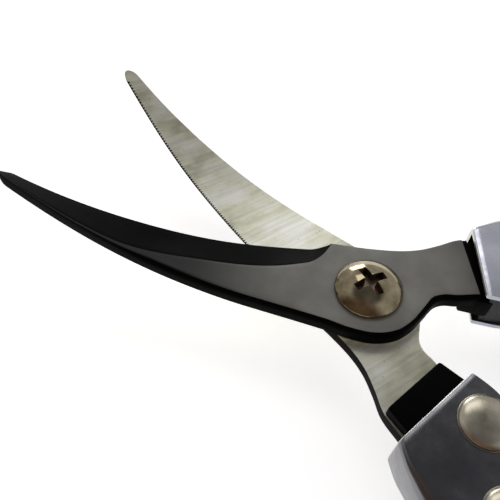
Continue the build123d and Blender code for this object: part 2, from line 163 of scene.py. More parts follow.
# Handles.
HANDLE_HALF = 5.65           # half the thickness of a handle
HANDLE_END = -161.0
SHEET = 1.2
MOUTH_X = {UPPER: -22.9, LOWER: -24.6}   # where the sheet begins, at the inner lips
MOUTH_SLANT = {UPPER: 2.9, LOWER: 2.1}   # how much further forward it begins at the back
MOUTH_CORNER = 1.3
BACK_CORNER = 5.1
FLARE_LENGTH = 16.0          # over which the corners turn round
MOUTH_RIM = ((0.0, 0.5), (0.12, 0.8), (0.35, 1.0))   # distance behind the mouth, share of the sheet there
REAR_LENGTH = 8.0            # the handle's end, where the sections stand closer
REAR_STOP = 0.4              # the last one stands this far in front of the outline's own end
REAR_CROWDING = 1.7          # 1 spaces those sections evenly, more crowds them towards the end
MAX_LEAN = 2.2               # of the back, up to which the sheet keeps its thickness
FLARE_REACH = 1.2            # the close sections behind the mouth cover this many flare lengths
FLARE_STEPS = 24
BODY_STEPS = 50
REAR_STEPS = 12
CHANNEL_SIDE_POINTS = 10
CHANNEL_CORNER_POINTS = 9
LIP_POINTS = (
    (-161.0, 6.8), (-155.0, 2.9), (-142.0, 5.8), (-124.0, 9.6), (-103.0, 12.6), (-82.0, 12.8),
    (-65.1, 11.0), (-56.0, 9.5), (-46.9, 7.9), (-37.0, 5.2), (-30.0, 2.6), (-22.7, 2.5),
)
BACK_POINTS = (
    (-161.0, 6.8), (-156.4, 13.0), (-146.0, 20.3), (-128.0, 27.0), (-105.0, 31.6), (-80.0, 33.6),
    (-55.0, 32.2), (-36.0, 28.4), (-26.5, 24.4), (-22.7, 21.8), (-20.0, 20.0),
)

# Rivets.
RIVET_SHANK = 2.4
RIVET_RIM = 0.1              # chamfer under the head's edge
RIVET_DOME_RIM = 0.12        # the dome starts this far inside the edge and above the head's foot
RIVET_FULLNESS = 2.3         # 2 makes the dome a part of an ellipse, more makes it fuller

# Return spring, bent round the pivot.
SPRING_RADIUS = 56.8
LIP_AT_SPRING = 9.6          # degrees from a half's x axis to its handle's edge, under the spring
COIL_RADIUS = 9.25
WIRE = 1.45
WIRE_FIT = 0.1
TURNS = 8.75
STEPS_PER_TURN = 40
WIRE_SIDES = 14

SMOOTH_ANGLE = math.radians(32)

# Floor, light and camera.
FLOOR_GLOW = 0.7
FLOOR_DROP = 0.3             # below the lowest point of the shears
ROOM_LIGHT = (0.52, 0.52, 0.53, 1)
CEILING_LIGHT = (0.13, 0.13, 0.14, 1)
FAR_WALL_LIGHT = (0.16, 0.115, 0.09, 1)
CAMERA_PLACE = (-8.686, 61.92, 101.836)
CAMERA_RIGHT = (-0.86814, -0.49618, -0.01171)
CAMERA_BACK = (-0.30466, 0.51414, 0.80178)
CAMERA_ROLL = -0.4
CAMERA_LENS = 37.94
CEILING_BEGINS, CEILING_FULL = 0.76, 0.87        # height of a direction, up to 1 straight up
FAR_WALL_BEGINS, FAR_WALL_FULL = 0.15, 0.6       # its share towards the +Y side

# Painted sheen on the coating, and grinding lines.
SHEEN_PAINTED_REACH = 42.0             # painted sheen: the coating is painted lighter up to this distance from the pivot
GRINDING_ANGLE = 60.4        # from the X axis to the lines on the ground faces


def between(points, x):
    """The height at x of a smooth curve through points, which stand in order of x."""
    x = min(max(x, points[0][0]), points[-1][0])
    last = len(points) - 1
    step = next(i for i in range(last) if x <= points[i + 1][0])
    (x0, y0), (x1, y1) = points[step], points[step + 1]
    before = points[max(step - 1, 0)]
    after = points[min(step + 2, last)]
    slope0 = (y1 - before[1]) / (x1 - before[0])
    slope1 = (after[1] - y0) / (after[0] - x0)
    t = (x - x0) / (x1 - x0)
    rise = (2 * t**3 - 3 * t**2 + 1) * y0 + (3 * t**2 - 2 * t**3) * y1
    return rise + (x1 - x0) * ((t**3 - 2 * t**2 + t) * slope0 + (t**3 - t**2) * slope1)


def lean(points, x):
    """How much longer a small distance across the curve is, measured along y."""
    step = 0.1
    return math.hypot(1, (between(points, x + step) - between(points, x - step)) / (2 * step))


def half_matrix(side):
    """From a half's own frame, in millimetres, to the row frame in metres."""
    turn = math.radians(side * OPEN_ANGLE / 2)
    along = Vector((math.cos(turn), math.sin(turn), 0))
    up = Vector((0, 0, -side))
    across = up.cross(along)
    matrix = Matrix((along, across, up)).transposed().to_4x4()
    matrix.translation = (0, 0, MATING_HEIGHT)
    return Matrix.Scale(MM, 4) @ matrix


def new_piece(name, bm, materials, body, matrix=None):
    """Turn mesh data in millimetres into a piece that rides on a CAD body, when one is given."""
    bmesh.ops.transform(bm, matrix=matrix or Matrix.Scale(MM, 4), verts=bm.verts)
    bmesh.ops.recalc_face_normals(bm, faces=bm.faces)
    mesh = bpy.data.meshes.new(name)
    bm.to_mesh(mesh)
    bm.free()
    for material in materials:
        mesh.materials.append(material)
    mesh.shade_smooth()
    mesh.set_sharp_from_angle(angle=SMOOTH_ANGLE)
    piece = bpy.data.objects.new(name, mesh)
    bpy.context.scene.collection.objects.link(piece)
    if body:
        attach(piece, body)
    return piece


def join_rings(bm, rings, slots=None):
    """Join closed rings of points with faces. slots gives a material slot for each point of each ring."""
    rows = [[bm.verts.new(point) for point in ring] for ring in rings]
    count = len(rings[0])
    for number, (row, following) in enumerate(zip(rows, rows[1:])):
        for i in range(count):
            j = (i + 1) % count
            face = bm.faces.new((row[i], row[j], following[j], following[i]))
            if slots:
                face.material_index = slots[number][i]
    return rows


def add_caps(bm, rows):
    """Close both ends of joined rings."""
    for row in (rows[0], rows[-1]):
        bm.faces.new(row)


def lathe(bm, profile, segments=96, centre=(0.0, 0.0)):
    """Spin (radius, height) points about an upright axis. The profile starts and ends on the axis."""
    turns = [2 * math.pi * i / segments for i in range(segments)]
    rings = []
    for radius, height in profile[1:-1]:
        ring = [(centre[0] + radius * math.cos(t), centre[1] + radius * math.sin(t), height) for t in turns]
        rings.append(ring)
    rows = join_rings(bm, rings)
    for row, (_, height) in ((rows[0], profile[0]), (rows[-1], profile[-1])):
        pole = bm.verts.new((centre[0], centre[1], height))
        for i in range(segments):
            bm.faces.new((row[i], row[(i + 1) % segments], pole))


# Materials -------------------------------------------------------------------------------------------


def tone(code):
    """A colour written as in a paint program, as the linear colour that shaders take."""
    values = [int(code[i:i + 2], 16) / 255 for i in (0, 2, 4)]
    return (*[v / 12.92 if v < 0.04045 else ((v + 0.055) / 1.055) ** 2.4 for v in values], 1.0)


def new_material(name, **sockets):
    """A material with one Principled shader, and that shader."""
    material = bpy.data.materials.new(name)
    material.use_nodes = True
    shader = material.node_tree.nodes["Principled BSDF"]
    for socket, value in sockets.items():
        shader.inputs[socket.replace("_", " ")].default_value = value
    return material, shader


def noise(shader, grain, angle=0.0, detail=5.0, rough=0.55):
    """Noise with features grain millimetres long, wide and high, their length at an angle from X."""
    tree = shader.id_data
    place = tree.nodes.new("ShaderNodeTexCoord")
    mapping = tree.nodes.new("ShaderNodeMapping")
    mapping.vector_type = "TEXTURE"
    mapping.inputs["Rotation"].default_value = (0, 0, math.radians(angle))
    mapping.inputs["Scale"].default_value = Vector(grain) * MM
    texture = tree.nodes.new("ShaderNodeTexNoise")
    texture.inputs["Scale"].default_value = 1.0
    texture.inputs["Detail"].default_value = detail
    texture.inputs["Roughness"].default_value = rough
    tree.links.new(place.outputs["Object"], mapping.inputs["Vector"])
    tree.links.new(mapping.outputs["Vector"], texture.inputs["Vector"])
    return texture.outputs["Fac"]


def ramp(shader, factor, stops):
    """Turn a factor into a colour or a value through (position, colour) stops."""
    tree = shader.id_data
    node = tree.nodes.new("ShaderNodeValToRGB")
    elements = node.color_ramp.elements
    while len(elements) < len(stops):
        elements.new(0.5)
    for element, (position, colour) in zip(elements, stops):
        element.position = position
        element.color = colour if isinstance(colour, tuple) else (colour, colour, colour, 1.0)
    tree.links.new(factor, node.inputs["Fac"])
    return node.outputs["Color"]


def mixed(shader, factor, first, second, blend="MIX"):
    """Mix two colours by a factor. Each may be a socket or a constant."""
    tree = shader.id_data
    node = tree.nodes.new("ShaderNodeMix")
    node.data_type = "RGBA"
    node.blend_type = blend
    for socket, value in ((node.inputs[0], factor), (node.inputs[6], first), (node.inputs[7], second)):
        if isinstance(value, bpy.types.NodeSocket):
            tree.links.new(value, socket)
        else:
            socket.default_value = value
    return node.outputs[2]


def paint(shader, colour=None, roughness=None, bumps=()):
    """Link a colour, a roughness and (height, strength, depth in mm) bumps to a shader."""
    tree = shader.id_data
    if colour:
        tree.links.new(colour, shader.inputs["Base Color"])
    if roughness:
        tree.links.new(roughness, shader.inputs["Roughness"])
    normal = None
    for height, strength, depth in bumps:
        bump = tree.nodes.new("ShaderNodeBump")
        bump.inputs["Strength"].default_value = strength
        bump.inputs["Distance"].default_value = depth * MM
        tree.links.new(height, bump.inputs["Height"])
        if normal:
            tree.links.new(normal, bump.inputs["Normal"])
        normal = bump.outputs["Normal"]
    if normal:
        tree.links.new(normal, shader.inputs["Normal"])


def painted_light_on_flats(shader, reach):
    """A painted-light mask: 1 on flat metal near the pivot, and 0 on its sides and reach millimetres away."""
    tree = shader.id_data
    place = tree.nodes.new("ShaderNodeTexCoord")
    distance = tree.nodes.new("ShaderNodeVectorMath")
    distance.operation = "LENGTH"
    tree.links.new(place.outputs["Object"], distance.inputs[0])
    near = tree.nodes.new("ShaderNodeMapRange")
    near.interpolation_type = "SMOOTHSTEP"
    near.inputs["From Min"].default_value = reach * MM
    near.inputs["From Max"].default_value = 0.25 * reach * MM
    tree.links.new(distance.outputs["Value"], near.inputs["Value"])
    geometry = tree.nodes.new("ShaderNodeNewGeometry")
    split = tree.nodes.new("ShaderNodeSeparateXYZ")
    tree.links.new(geometry.outputs["Normal"], split.inputs["Vector"])
    level = tree.nodes.new("ShaderNodeMath")
    level.operation = "ABSOLUTE"
    tree.links.new(split.outputs["Z"], level.inputs[0])
    flat = tree.nodes.new("ShaderNodeMapRange")
    flat.inputs["From Min"].default_value = 0.75
    flat.inputs["From Max"].default_value = 1.0
    tree.links.new(level.outputs["Value"], flat.inputs["Value"])
    both = tree.nodes.new("ShaderNodeMath")
    both.operation = "MULTIPLY"
    tree.links.new(near.outputs["Result"], both.inputs[0])
    tree.links.new(flat.outputs["Result"], both.inputs[1])
    return both.outputs["Value"]


def coated_steel():
    """Satin black coating with a painted sheen, painted lighter on the flats round the pivot, and faint
    clouds.
    """
    material, shader = new_material("black_coating", Metallic=0.0, Specular_IOR_Level=0.3)
    clouds = noise(shader, (9, 9, 9), detail=3)
    grain = noise(shader, (0.12, 0.12, 0.12), detail=3)
    dark = ramp(shader, clouds, ((0.35, tone("0d0d0d")), (0.65, tone("131313"))))
    # light: the painted sheen's colour, laid on the flats near the pivot
    light = ramp(shader, clouds, ((0.35, tone("86867f")), (0.65, tone("9c9c94"))))
    paint(
        shader,
        colour=mixed(shader, painted_light_on_flats(shader, SHEEN_PAINTED_REACH), dark, light),
        roughness=ramp(shader, clouds, ((0.3, 0.34), (0.7, 0.44))),
        bumps=((grain, 0.12, 0.02), (clouds, 0.05, 0.3)),
    )
    return material


def ground_bevel():
    """The black bevel, matt, with faint grinding lines across it."""
    material, shader = new_material("black_bevel", Metallic=0.0, Specular_IOR_Level=0.02)
    lines = noise(shader, (6, 0.08, 6), angle=88, detail=4)
    clouds = noise(shader, (14, 14, 14), detail=2)
    paint(
        shader,
        colour=ramp(shader, lines, ((0.3, tone("060606")), (0.7, tone("0c0c0b")))),
        roughness=ramp(shader, clouds, ((0.3, 0.5), (0.7, 0.62))),
        bumps=((lines, 0.15, 0.03),),
    )
    return material


def ground_steel(name, angle):
    """Warm ground steel with fine lines nearly across the blade, clouds, stains and small pits."""
    material, shader = new_material(name, Metallic=0.45)
    lines = noise(shader, (9, 0.09, 9), angle=angle, detail=6, rough=0.7)
    broad = noise(shader, (30, 0.9, 30), angle=angle, detail=3)
    clouds = noise(shader, (11, 7, 11), angle=angle, detail=4)
    pits = noise(shader, (0.5, 0.28, 0.5), angle=angle + 70, detail=2)
    tint = ramp(shader, clouds, ((0.34, tone("cac8ae")), (0.5, tone("efeed6")), (0.64, tone("fffff4"))))
    streaked = mixed(shader, 0.45, tint, ramp(shader, lines, ((0.3, 0.55), (0.7, 1.0))), "MULTIPLY")
    banded = mixed(shader, 0.35, streaked, ramp(shader, broad, ((0.35, 0.55), (0.6, 1.0))), "MULTIPLY")
    spots = ramp(shader, pits, ((0.26, 1.0), (0.285, 0.0)))
    paint(
        shader,
        colour=mixed(shader, spots, banded, tone("3a352c")),
        roughness=ramp(shader, lines, ((0.3, 0.30), (0.7, 0.46))),
        bumps=((lines, 0.35, 0.02),),
    )
    return material


def bare_spine():
    """The spine wall: bare cut steel with a speckled grain."""
    material, shader = new_material("bare_spine", Metallic=1.0)
    speckle = noise(shader, (0.35, 0.2, 0.35), detail=5, rough=0.7)
    clouds = noise(shader, (5, 5, 5), detail=3)
    tint = ramp(shader, speckle, ((0.35, tone("55534f")), (0.65, tone("8f8d86"))))
    paint(
        shader,
        colour=mixed(shader, 0.5, tint, ramp(shader, clouds, ((0.3, 0.6), (0.7, 1.0))), "MULTIPLY"),
        roughness=ramp(shader, speckle, ((0.3, 0.42), (0.7, 0.62))),
        bumps=((speckle, 0.4, 0.05),),
    )
    return material


def nickel(name, dark, light, roughness):
    """Polished, slightly brown nickel with fine rubbing marks."""
    material, shader = new_material(name, Metallic=1.0)
    smears = noise(shader, (3.5, 3.5, 3.5), detail=4)
    scratches = noise(shader, (2.4, 0.05, 2.4), angle=25, detail=2)
    paint(
        shader,
        colour=ramp(shader, smears, ((0.3, tone(dark)), (0.7, tone(light)))),
        roughness=ramp(shader, smears, ((0.3, roughness), (0.75, roughness + 0.12))),
        bumps=((scratches, 0.06, 0.01), (smears, 0.04, 0.2)),
    )
    return material


def polished_sheet(name, dark, light):
    """Polished sheet with long drawing lines, smudges and a soft waviness."""
    material, shader = new_material(name, Metallic=1.0)
    waves = noise(shader, (18, 12, 12), detail=2)
    lines = noise(shader, (20, 0.12, 4), detail=3)
    smudges = noise(shader, (2.2, 2.2, 2.2), detail=5, rough=0.65)
    tint = ramp(shader, waves, ((0.3, tone(dark)), (0.7, tone(light))))
    paint(
        shader,
        colour=mixed(shader, 0.25, tint, ramp(shader, smudges, ((0.3, 0.7), (0.6, 1.0))), "MULTIPLY"),
        roughness=ramp(shader, smudges, ((0.3, 0.30), (0.7, 0.17))),
        bumps=((waves, 0.08, 0.4), (lines, 0.08, 0.01)),
    )
    return material


def spring_steel():
    """Brownish drawn wire."""
    material, shader = new_material("spring_steel", Metallic=1.0)
    stain = noise(shader, (3, 3, 3), detail=4)
    grain = noise(shader, (0.25, 0.25, 0.25), detail=3)
    paint(
        shader,
        colour=ramp(shader, stain, ((0.3, tone("5f5148")), (0.7, tone("a3968c")))),
        roughness=ramp(shader, stain, ((0.3, 0.22), (0.7, 0.4))),
        bumps=((grain, 0.1, 0.02),),
    )
    return material


def nylon():
    """Moulded black nylon with a fine pebble."""
    material, shader = new_material("moulded_nylon", Metallic=0.0, Specular_IOR_Level=0.4)
    pebble = noise(shader, (0.45, 0.45, 0.45), detail=3)
    clouds = noise(shader, (8, 8, 8), detail=2)
    paint(
        shader,
        colour=ramp(shader, clouds, ((0.3, tone("131314")), (0.7, tone("1e1e20")))),
        roughness=ramp(shader, pebble, ((0.3, 0.45), (0.7, 0.62))),
        bumps=((pebble, 0.25, 0.05),),
    )
    return material


def tinted_metal(name, dark, light, roughness):
    """Plain metal for the small parts, with cloudy colour and light scratches."""
    material, shader = new_material(name, Metallic=1.0)
    clouds = noise(shader, (2.5, 2.5, 2.5), detail=4)
    scratches = noise(shader, (3, 0.08, 3), angle=40, detail=3)
    paint(
        shader,
        colour=ramp(shader, clouds, ((0.3, tone(dark)), (0.7, tone(light)))),
        roughness=ramp(shader, clouds, ((0.3, roughness), (0.7, roughness + 0.14))),
        bumps=((scratches, 0.12, 0.02),),
    )
    return material


# Blades ----------------------------------------------------------------------------------------------


def surface_height(side, x, y, depth):
    """Own height of the metal at a depth below the blade's ground face."""
    arc = CURVE_RADIUS - side * (BLADE_GAP / 2 + depth)
    beyond = max(0.0, math.hypot(x, y) - FLAT_RADIUS)
    return -side * (CURVE_RADIUS - math.sqrt(arc**2 - beyond**2))


def ease(share):
    """0 to 1 along an S-curve, held at its ends."""
    share = min(max(share, 0.0), 1.0)
    return share * share * (3 - 2 * share)


def tip_share(side, x):
    """How much of the blade's width is left in the round of its tip: 1 behind it and 0 at its very end."""
    ahead = max(x - (TIP[side] - TIP_HALF_WIDTH), 0.0) / TIP_HALF_WIDTH
    return math.sqrt(max(1 - ahead**2, 0.0))


def thickness_at(side, x):
    """The blade's thickness at x. It is less at the tip, and behind the outer face's end."""
    thinned = TIP_THINNING * ease((x - THINNING_START) / (TIP[side] - THINNING_START))
    thickness = (BLADE_THICKNESS - thinned) * (1 - TIP_ROUNDING * (1 - tip_share(side, x)))
    return thickness - NECK_LEDGE_DROP if x < NECK_END else thickness


def blade_section(side, x, tooth):
    """Points (x, across, depth, slot) round a blade, starting at the edge and crossing the ground face."""
    left = tip_share(side, x)
    edge_x = x + NECK_SLANT[side] * ease((NECK_SLANT_START - x) / (NECK_SLANT_START - NECK_END))
    full_edge, full_spine = between(EDGE_POINTS, edge_x), between(SPINE_POINTS, x)
    edge = full_edge * (TIP_BIAS[side] + (1 - TIP_BIAS[side]) * left)
    spine = edge - (full_edge - full_spine) * left
    thickness = thickness_at(side, x)
    bevelled = x >= EDGE_START
    ledge = x < NECK_END
    if bevelled:
        line = min(spine + (between(BEVEL_LINE, x) - full_spine) * left, edge - NECK_ROUND * left)
    else:
        line = edge - NECK_ROUND * lean(EDGE_POINTS, edge_x)
    fade = min(max((x - EDGE_START) / RUN_OUT, 0.0), 1.0)
    neck_depth = thickness - NECK_ROUND
    edge_depth = neck_depth + (EDGE_LAND - neck_depth) * math.sin(fade * math.pi / 2)
    squeeze = max(left, TIP_REMNANT)
    chamfer = MATING_CHAMFER * squeeze
    inner = spine + chamfer * min(lean(SPINE_POINTS, x), CHAMFER_REACH)
    strip = min(TOOTHED_STRIP, STRIP_SHARE * (edge - inner))
    heel_depth = HEEL_ROUND[side] * squeeze
    heel = min(heel_depth * lean(SPINE_POINTS, x), HEEL_SHARE * (line - spine))

    points = [(edge - min(tooth, TOOTH_SHARE * strip), 0.0, GROUND)]
    for i in range(GROUND_POINTS):
        points.append((edge - strip + (inner - edge + strip) * i / (GROUND_POINTS - 1), 0.0, GROUND))
    points.append((spine, chamfer, WALL if bevelled else BEVEL))
    face_slot = BEVEL if ledge else COAT
    for i in range(ROUND_POINTS):
        turn = math.pi / 2 * i / (ROUND_POINTS - 1)
        across = spine + heel * (1 - math.cos(turn))
        # Beside the wall the round takes the matt black bevel: a painted shade along the rim.
        slot = BEVEL if i < ROUND_POINTS_PAINTED_SHADE else face_slot
        points.append((across, thickness - heel_depth * (1 - math.sin(turn)), slot))
    for i in range(1, FACE_POINTS + 1):
        points.append((spine + heel + (line - spine - heel) * i / (FACE_POINTS + 1), thickness, face_slot))
    for i in range(BEVEL_POINTS):
        share = i / (BEVEL_POINTS - 1)
        turn = math.pi / 2 * share
        straight = Vector((line + (edge - line) * share, thickness + (edge_depth - thickness) * share))
        curved = Vector((
            line + (edge - line) * math.sin(turn),
            edge_depth + (thickness - edge_depth) * math.cos(turn),
        ))
        point = curved.lerp(straight, min(fade / CRISP_SHARE, 1.0))
        points.append((point.x, point.y, BEVEL if bevelled or ledge or share == 1 else COAT))
    stretch = (edge_x - x) / (edge - spine)
    return [(x + stretch * (across - spine), across, depth, slot) for across, depth, slot in points]


def blade_stations(side, toothed):
    """Where the sections of a blade stand along it, closer where it is ground and at its tip."""
    stations = [NECK_END - NECK_LEDGE, NECK_END - NECK_LEDGE_WALL]
    stations += [NECK_END + NECK_STEP * i for i in range(int((EDGE_START - NECK_END) / NECK_STEP) + 1)]
    stations += [EDGE_START + RUN_OUT_STEP * i for i in range(int(RUN_OUT / RUN_OUT_STEP) + 1)]
    start = EDGE_START + RUN_OUT
    end = TIP[side] - TIP_HALF_WIDTH
    step = TOOTH_PITCH / len(TOOTH_PROFILE) if toothed else BLADE_STEP
    count = round((end - start) / step)
    stations += [start + (end - start) * i / count for i in range(1, count + 1)]
    stations += [end + TIP_HALF_WIDTH * math.sin(math.radians(angle)) for angle in TIP_ANGLES]
    return stations


def tooth_at(side, x, number):
    """Depth of the fine teeth at one station of the toothed edge."""
    if x < EDGE_START + RUN_OUT or x > TIP[side] - TIP_HALF_WIDTH:
        return 0.0
    return TOOTH_DEPTH * TOOTH_PROFILE[number % len(TOOTH_PROFILE)]


def make_blade(half, materials, toothed):
    """A blade with its heel, neck and ground bevel, and its raised tang. materials has one for each slot."""
    side = SIDES[half]
    bm = bmesh.new()
    rings = []
    slots = []
    for number, x in enumerate(blade_stations(side, toothed)):
        tooth = tooth_at(side, x, number) if toothed else 0.0
        section = blade_section(side, x, tooth)
        rings.append([(px, y, surface_height(side, px, y, depth)) for px, y, depth, _ in section])
        slots.append([slot for _, _, _, slot in section])
    rows = join_rings(bm, rings, slots)
    add_caps(bm, rows)
    bevel_start = len(rings[0]) - BEVEL_POINTS
    for row, following, ring_slots in zip(rows, rows[1:], slots):
        if ring_slots[bevel_start] == BEVEL:
            bm.edges.get((row[bevel_start], following[bevel_start])).smooth = False
    add_tang(bm)
    piece = new_piece(f"{half}_blade_forged", bm, materials, f"{half}_half", half_matrix(side))
    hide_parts(f"{half}_blade")


def add_tang(bm):
    """The tang's rounded block, which stands above the blade and runs into the handle."""
    block = bmesh.new()
    foot = [block.verts.new((x, y, -TANG_THICKNESS / 2)) for x, y in TANG_POINTS]
    block.faces.new(foot)
    raised = bmesh.ops.extrude_face_region(block, geom=block.faces[:])
    corners = [v for v in raised["geom"] if isinstance(v, bmesh.types.BMVert)]
    bmesh.ops.translate(block, vec=(0, 0, TANG_THICKNESS), verts=corners)
    bmesh.ops.bevel(block, geom=block.edges[:], offset=TANG_ROUND, segments=4, profile=0.5, affect="EDGES")
    for face in block.faces:
        face.material_index = TANG
    mesh = bpy.data.meshes.new("tang")
    block.to_mesh(mesh)
    block.free()
    bm.from_mesh(mesh)
    bpy.data.meshes.remove(mesh)


# Handles ---------------------------------------------------------------------------------------------


def corner_radius(behind):
    """Outer radius of the sheet at a distance behind its mouth, where it is nearly square."""
    return MOUTH_CORNER + (BACK_CORNER - MOUTH_CORNER) * ease(behind / FLARE_LENGTH)


def channel_path(low, high, half, radius):
    """Points (across, height) along a U: from one lip, round the back, to the other lip."""
    flat_end = max(high - radius, low + 0.05)
    radius = min(radius, high - low, half)
    count = CHANNEL_SIDE_POINTS
    path = [(low + (flat_end - low) * i / count, -half) for i in range(count)]
    for first, level in ((-90, radius - half), (0, half - radius)):
        for i in range(CHANNEL_CORNER_POINTS):
            turn = math.radians(first + 90 * i / (CHANNEL_CORNER_POINTS - 1))
            path.append((flat_end + radius * math.cos(turn), level + radius * math.sin(turn)))
    path += [(flat_end + (low - flat_end) * i / count, half) for i in range(1, count + 1)]
    return path


def shell_section(side, x, skin):
    """Outer and inner path of the folded sheet at x, with the sheet skin millimetres thick."""
    behind = MOUTH_X[side] - x
    back_x = x + MOUTH_SLANT[side] * max(0.0, 1 - behind / FLARE_LENGTH)
    low, high = between(LIP_POINTS, x), between(BACK_POINTS, back_x)
    trim = (SHEET - skin) / 2
    slope = min(lean(BACK_POINTS, back_x), MAX_LEAN)
    outer = channel_path(low + trim, high - trim * slope, HANDLE_HALF - trim, corner_radius(behind))
    inner_high = max(high - (SHEET - trim) * slope, low + SHEET / 2)
    inner_radius = max(corner_radius(behind) - SHEET, 0.4)
    inner = channel_path(low + trim, inner_high, HANDLE_HALF - SHEET + trim, inner_radius)
    stretch = (back_x - x) / max(high - low, 0.1)
    return [[(x + stretch * (y - low), y, z) for y, z in path] for path in (outer, inner)]


def shell_stations(mouth):
    """Where the sections of a handle's sheet stand, and how thick the sheet is at each."""
    stations = [(mouth - back, share * SHEET) for back, share in MOUTH_RIM]
    rim_end = stations[-1][0]
    flare_end = rim_end - FLARE_REACH * FLARE_LENGTH
    rear_start = HANDLE_END + REAR_LENGTH
    for start, end, count in ((rim_end, flare_end, FLARE_STEPS), (flare_end, rear_start, BODY_STEPS)):
        stations += [(start + (end - start) * i / count, SHEET) for i in range(1, count + 1)]
    for i in range(1, REAR_STEPS + 1):
        share = 1 - (1 - i / REAR_STEPS) ** REAR_CROWDING
        stations.append((rear_start - (REAR_LENGTH - REAR_STOP) * share, SHEET))
    return stations


def make_shell(half, material, rim_painted_highlight):
    """The folded sheet of one handle, boxed at its mouth and round along its back."""
    side = SIDES[half]
    bm = bmesh.new()
    rows = []
    for x, skin in shell_stations(MOUTH_X[side]):
        rows.append([[bm.verts.new(point) for point in path] for path in shell_section(side, x, skin)])
    count = len(rows[0][0])
    for (outer, inner), (next_outer, next_inner) in zip(rows, rows[1:]):
        for i in range(count - 1):
            bm.faces.new((outer[i], outer[i + 1], next_outer[i + 1], next_outer[i]))
            bm.faces.new((inner[i + 1], inner[i], next_inner[i], next_inner[i + 1]))
        for i in (0, -1):
            bm.faces.new((outer[i], inner[i], next_inner[i], next_outer[i]))
    for outer, inner in (rows[0], rows[-1]):
        for i in range(count - 1):
            bm.faces.new((outer[i], outer[i + 1], inner[i + 1], inner[i]))
    # The mouth's rim faces take the near-white second material: a painted highlight on the sheet's edge.
    rim = {vertex for row in rows[:2] for path in row for vertex in path}
    for face in bm.faces:
        face.material_index = 1 if rim.issuperset(face.verts) else 0
    piece = new_piece(f"{half}_handle_folded", bm, [material, rim_painted_highlight], f"{half}_half", half_matrix(side))
    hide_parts(f"{half}_handle_shell")


# Pivot, rivets and spring ----------------------------------------------------------------------------


def dome_points(radius, foot, rise, steps=14):
    """The profile of a rivet's dome, from its rim towards its top."""
    points = []
    for i in range(steps):
        out = math.cos(math.pi / 2 * i / steps)
        points.append((radius * out, foot + rise * (1 - out**RIVET_FULLNESS) ** (1 / RIVET_FULLNESS)))
    return points


def screw_profile(top, foot, steps=24):
    """(radius, height) points of the pivot screw, from the top of its dome to its end."""
    rise = SCREW_HEAD_HEIGHT - SCREW_HEAD_LIP
    ball = (SCREW_HEAD_RADIUS**2 + rise**2) / (2 * rise)
    widest = math.asin(SCREW_HEAD_RADIUS / ball) * SCREW_DOME_SHARE
    profile = [(0, top)]
    for i in range(1, steps + 1):
        angle = widest * i / steps
        profile.append((ball * math.sin(angle), top - ball * (1 - math.cos(angle))))
    return profile + [
        (SCREW_HEAD_RADIUS, foot + SCREW_HEAD_LIP - SCREW_RIM_CHAMFER),
        (SCREW_HEAD_RADIUS, foot + SCREW_RIM_CHAMFER),
        (SCREW_HEAD_RADIUS - SCREW_RIM_CHAMFER, foot),
        (SCREW_SHANK_RADIUS, foot),
        (SCREW_SHANK_RADIUS, SCREW_END_CHAMFER),
        (SCREW_SHANK_RADIUS - SCREW_END_CHAMFER, 0.0),
        (0, 0.0),
    ]


def make_screw(material, dark):
    """The pivot screw, with a soft cross recess in its round head. The recess takes the darker second
    material, a painted shade.
    """
    foot = MATING_HEIGHT + BLADE_GAP / 2 + BLADE_THICKNESS + SCREW_FIT
    top = foot + SCREW_HEAD_HEIGHT
    bm = bmesh.new()
    lathe(bm, screw_profile(top, foot))
    screw = new_piece("pivot_screw_polished", bm, [material, dark], "lower_half")
    cutters = [recess_arm(top, RECESS_TURN + 90 * number, dark) for number in range(2)]
    for cutter in cutters:
        cut = screw.modifiers.new("recess", "BOOLEAN")
        cut.object = cutter
        cut.operation = "DIFFERENCE"
        cut.solver = "EXACT"
        cut.material_mode = "TRANSFER"
    soften = screw.modifiers.new("soft edges", "BEVEL")
    soften.width = RECESS_SOFTENING * MM
    soften.segments = 3
    soften.limit_method = "ANGLE"
    soften.angle_limit = math.radians(40)
    bpy.context.view_layer.update()
    finished = screw.evaluated_get(bpy.context.evaluated_depsgraph_get())
    screw.data = bpy.data.meshes.new_from_object(finished)
    screw.modifiers.clear()
    for cutter in cutters:
        bpy.data.objects.remove(cutter)
    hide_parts("pivot_screw")


def recess_arm(top, angle, material):
    """One arm of the screw's cross recess, which narrows downwards, as a cutter."""
    turn = math.radians(angle)
    along = Vector((math.cos(turn), math.sin(turn), 0))
    across = Vector((-math.sin(turn), math.cos(turn), 0))
    rings = []
    for height, length, width in (
        (top - RECESS_DEPTH, RECESS_SPAN * 0.7, RECESS_ARM * 0.8),
        (top + 1, RECESS_SPAN * 1.06, RECESS_ARM * 1.1),
    ):
        middle = Vector((0, 0, height))
        corners = ((1, 1), (-1, 1), (-1, -1), (1, -1))
        rings.append([middle + along * sx * length / 2 + across * sy * width / 2 for sx, sy in corners])
    bm = bmesh.new()
    add_caps(bm, join_rings(bm, rings))
    return new_piece(f"recess_arm_{round(angle)}", bm, [material], None)


def make_rivet(node, body, material):
    """A rivet domed on both sides, at the place of its CAD node."""
    low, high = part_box(node)
    centre = (low + high) / 2 / MM
    radius = (high.x - low.x) / 2 / MM
    half = (high.z - low.z) / 2 / MM
    rise = half - HANDLE_HALF
    dome = dome_points(radius - RIVET_DOME_RIM, HANDLE_HALF + RIVET_DOME_RIM, rise - RIVET_DOME_RIM)
    upper = [(RIVET_SHANK, HANDLE_HALF), (radius - RIVET_RIM, HANDLE_HALF), (radius, HANDLE_HALF + RIVET_RIM)]
    upper += [*dome, (0, half)]
    lower = [(out, -height) for out, height in reversed(upper)]
    bm = bmesh.new()
    profile = [(out, centre.z + height) for out, height in lower + upper]
    lathe(bm, profile, segments=64, centre=(centre.x, centre.y))
    piece = new_piece(f"{node}_domed", bm, [material], body)
    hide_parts(node)


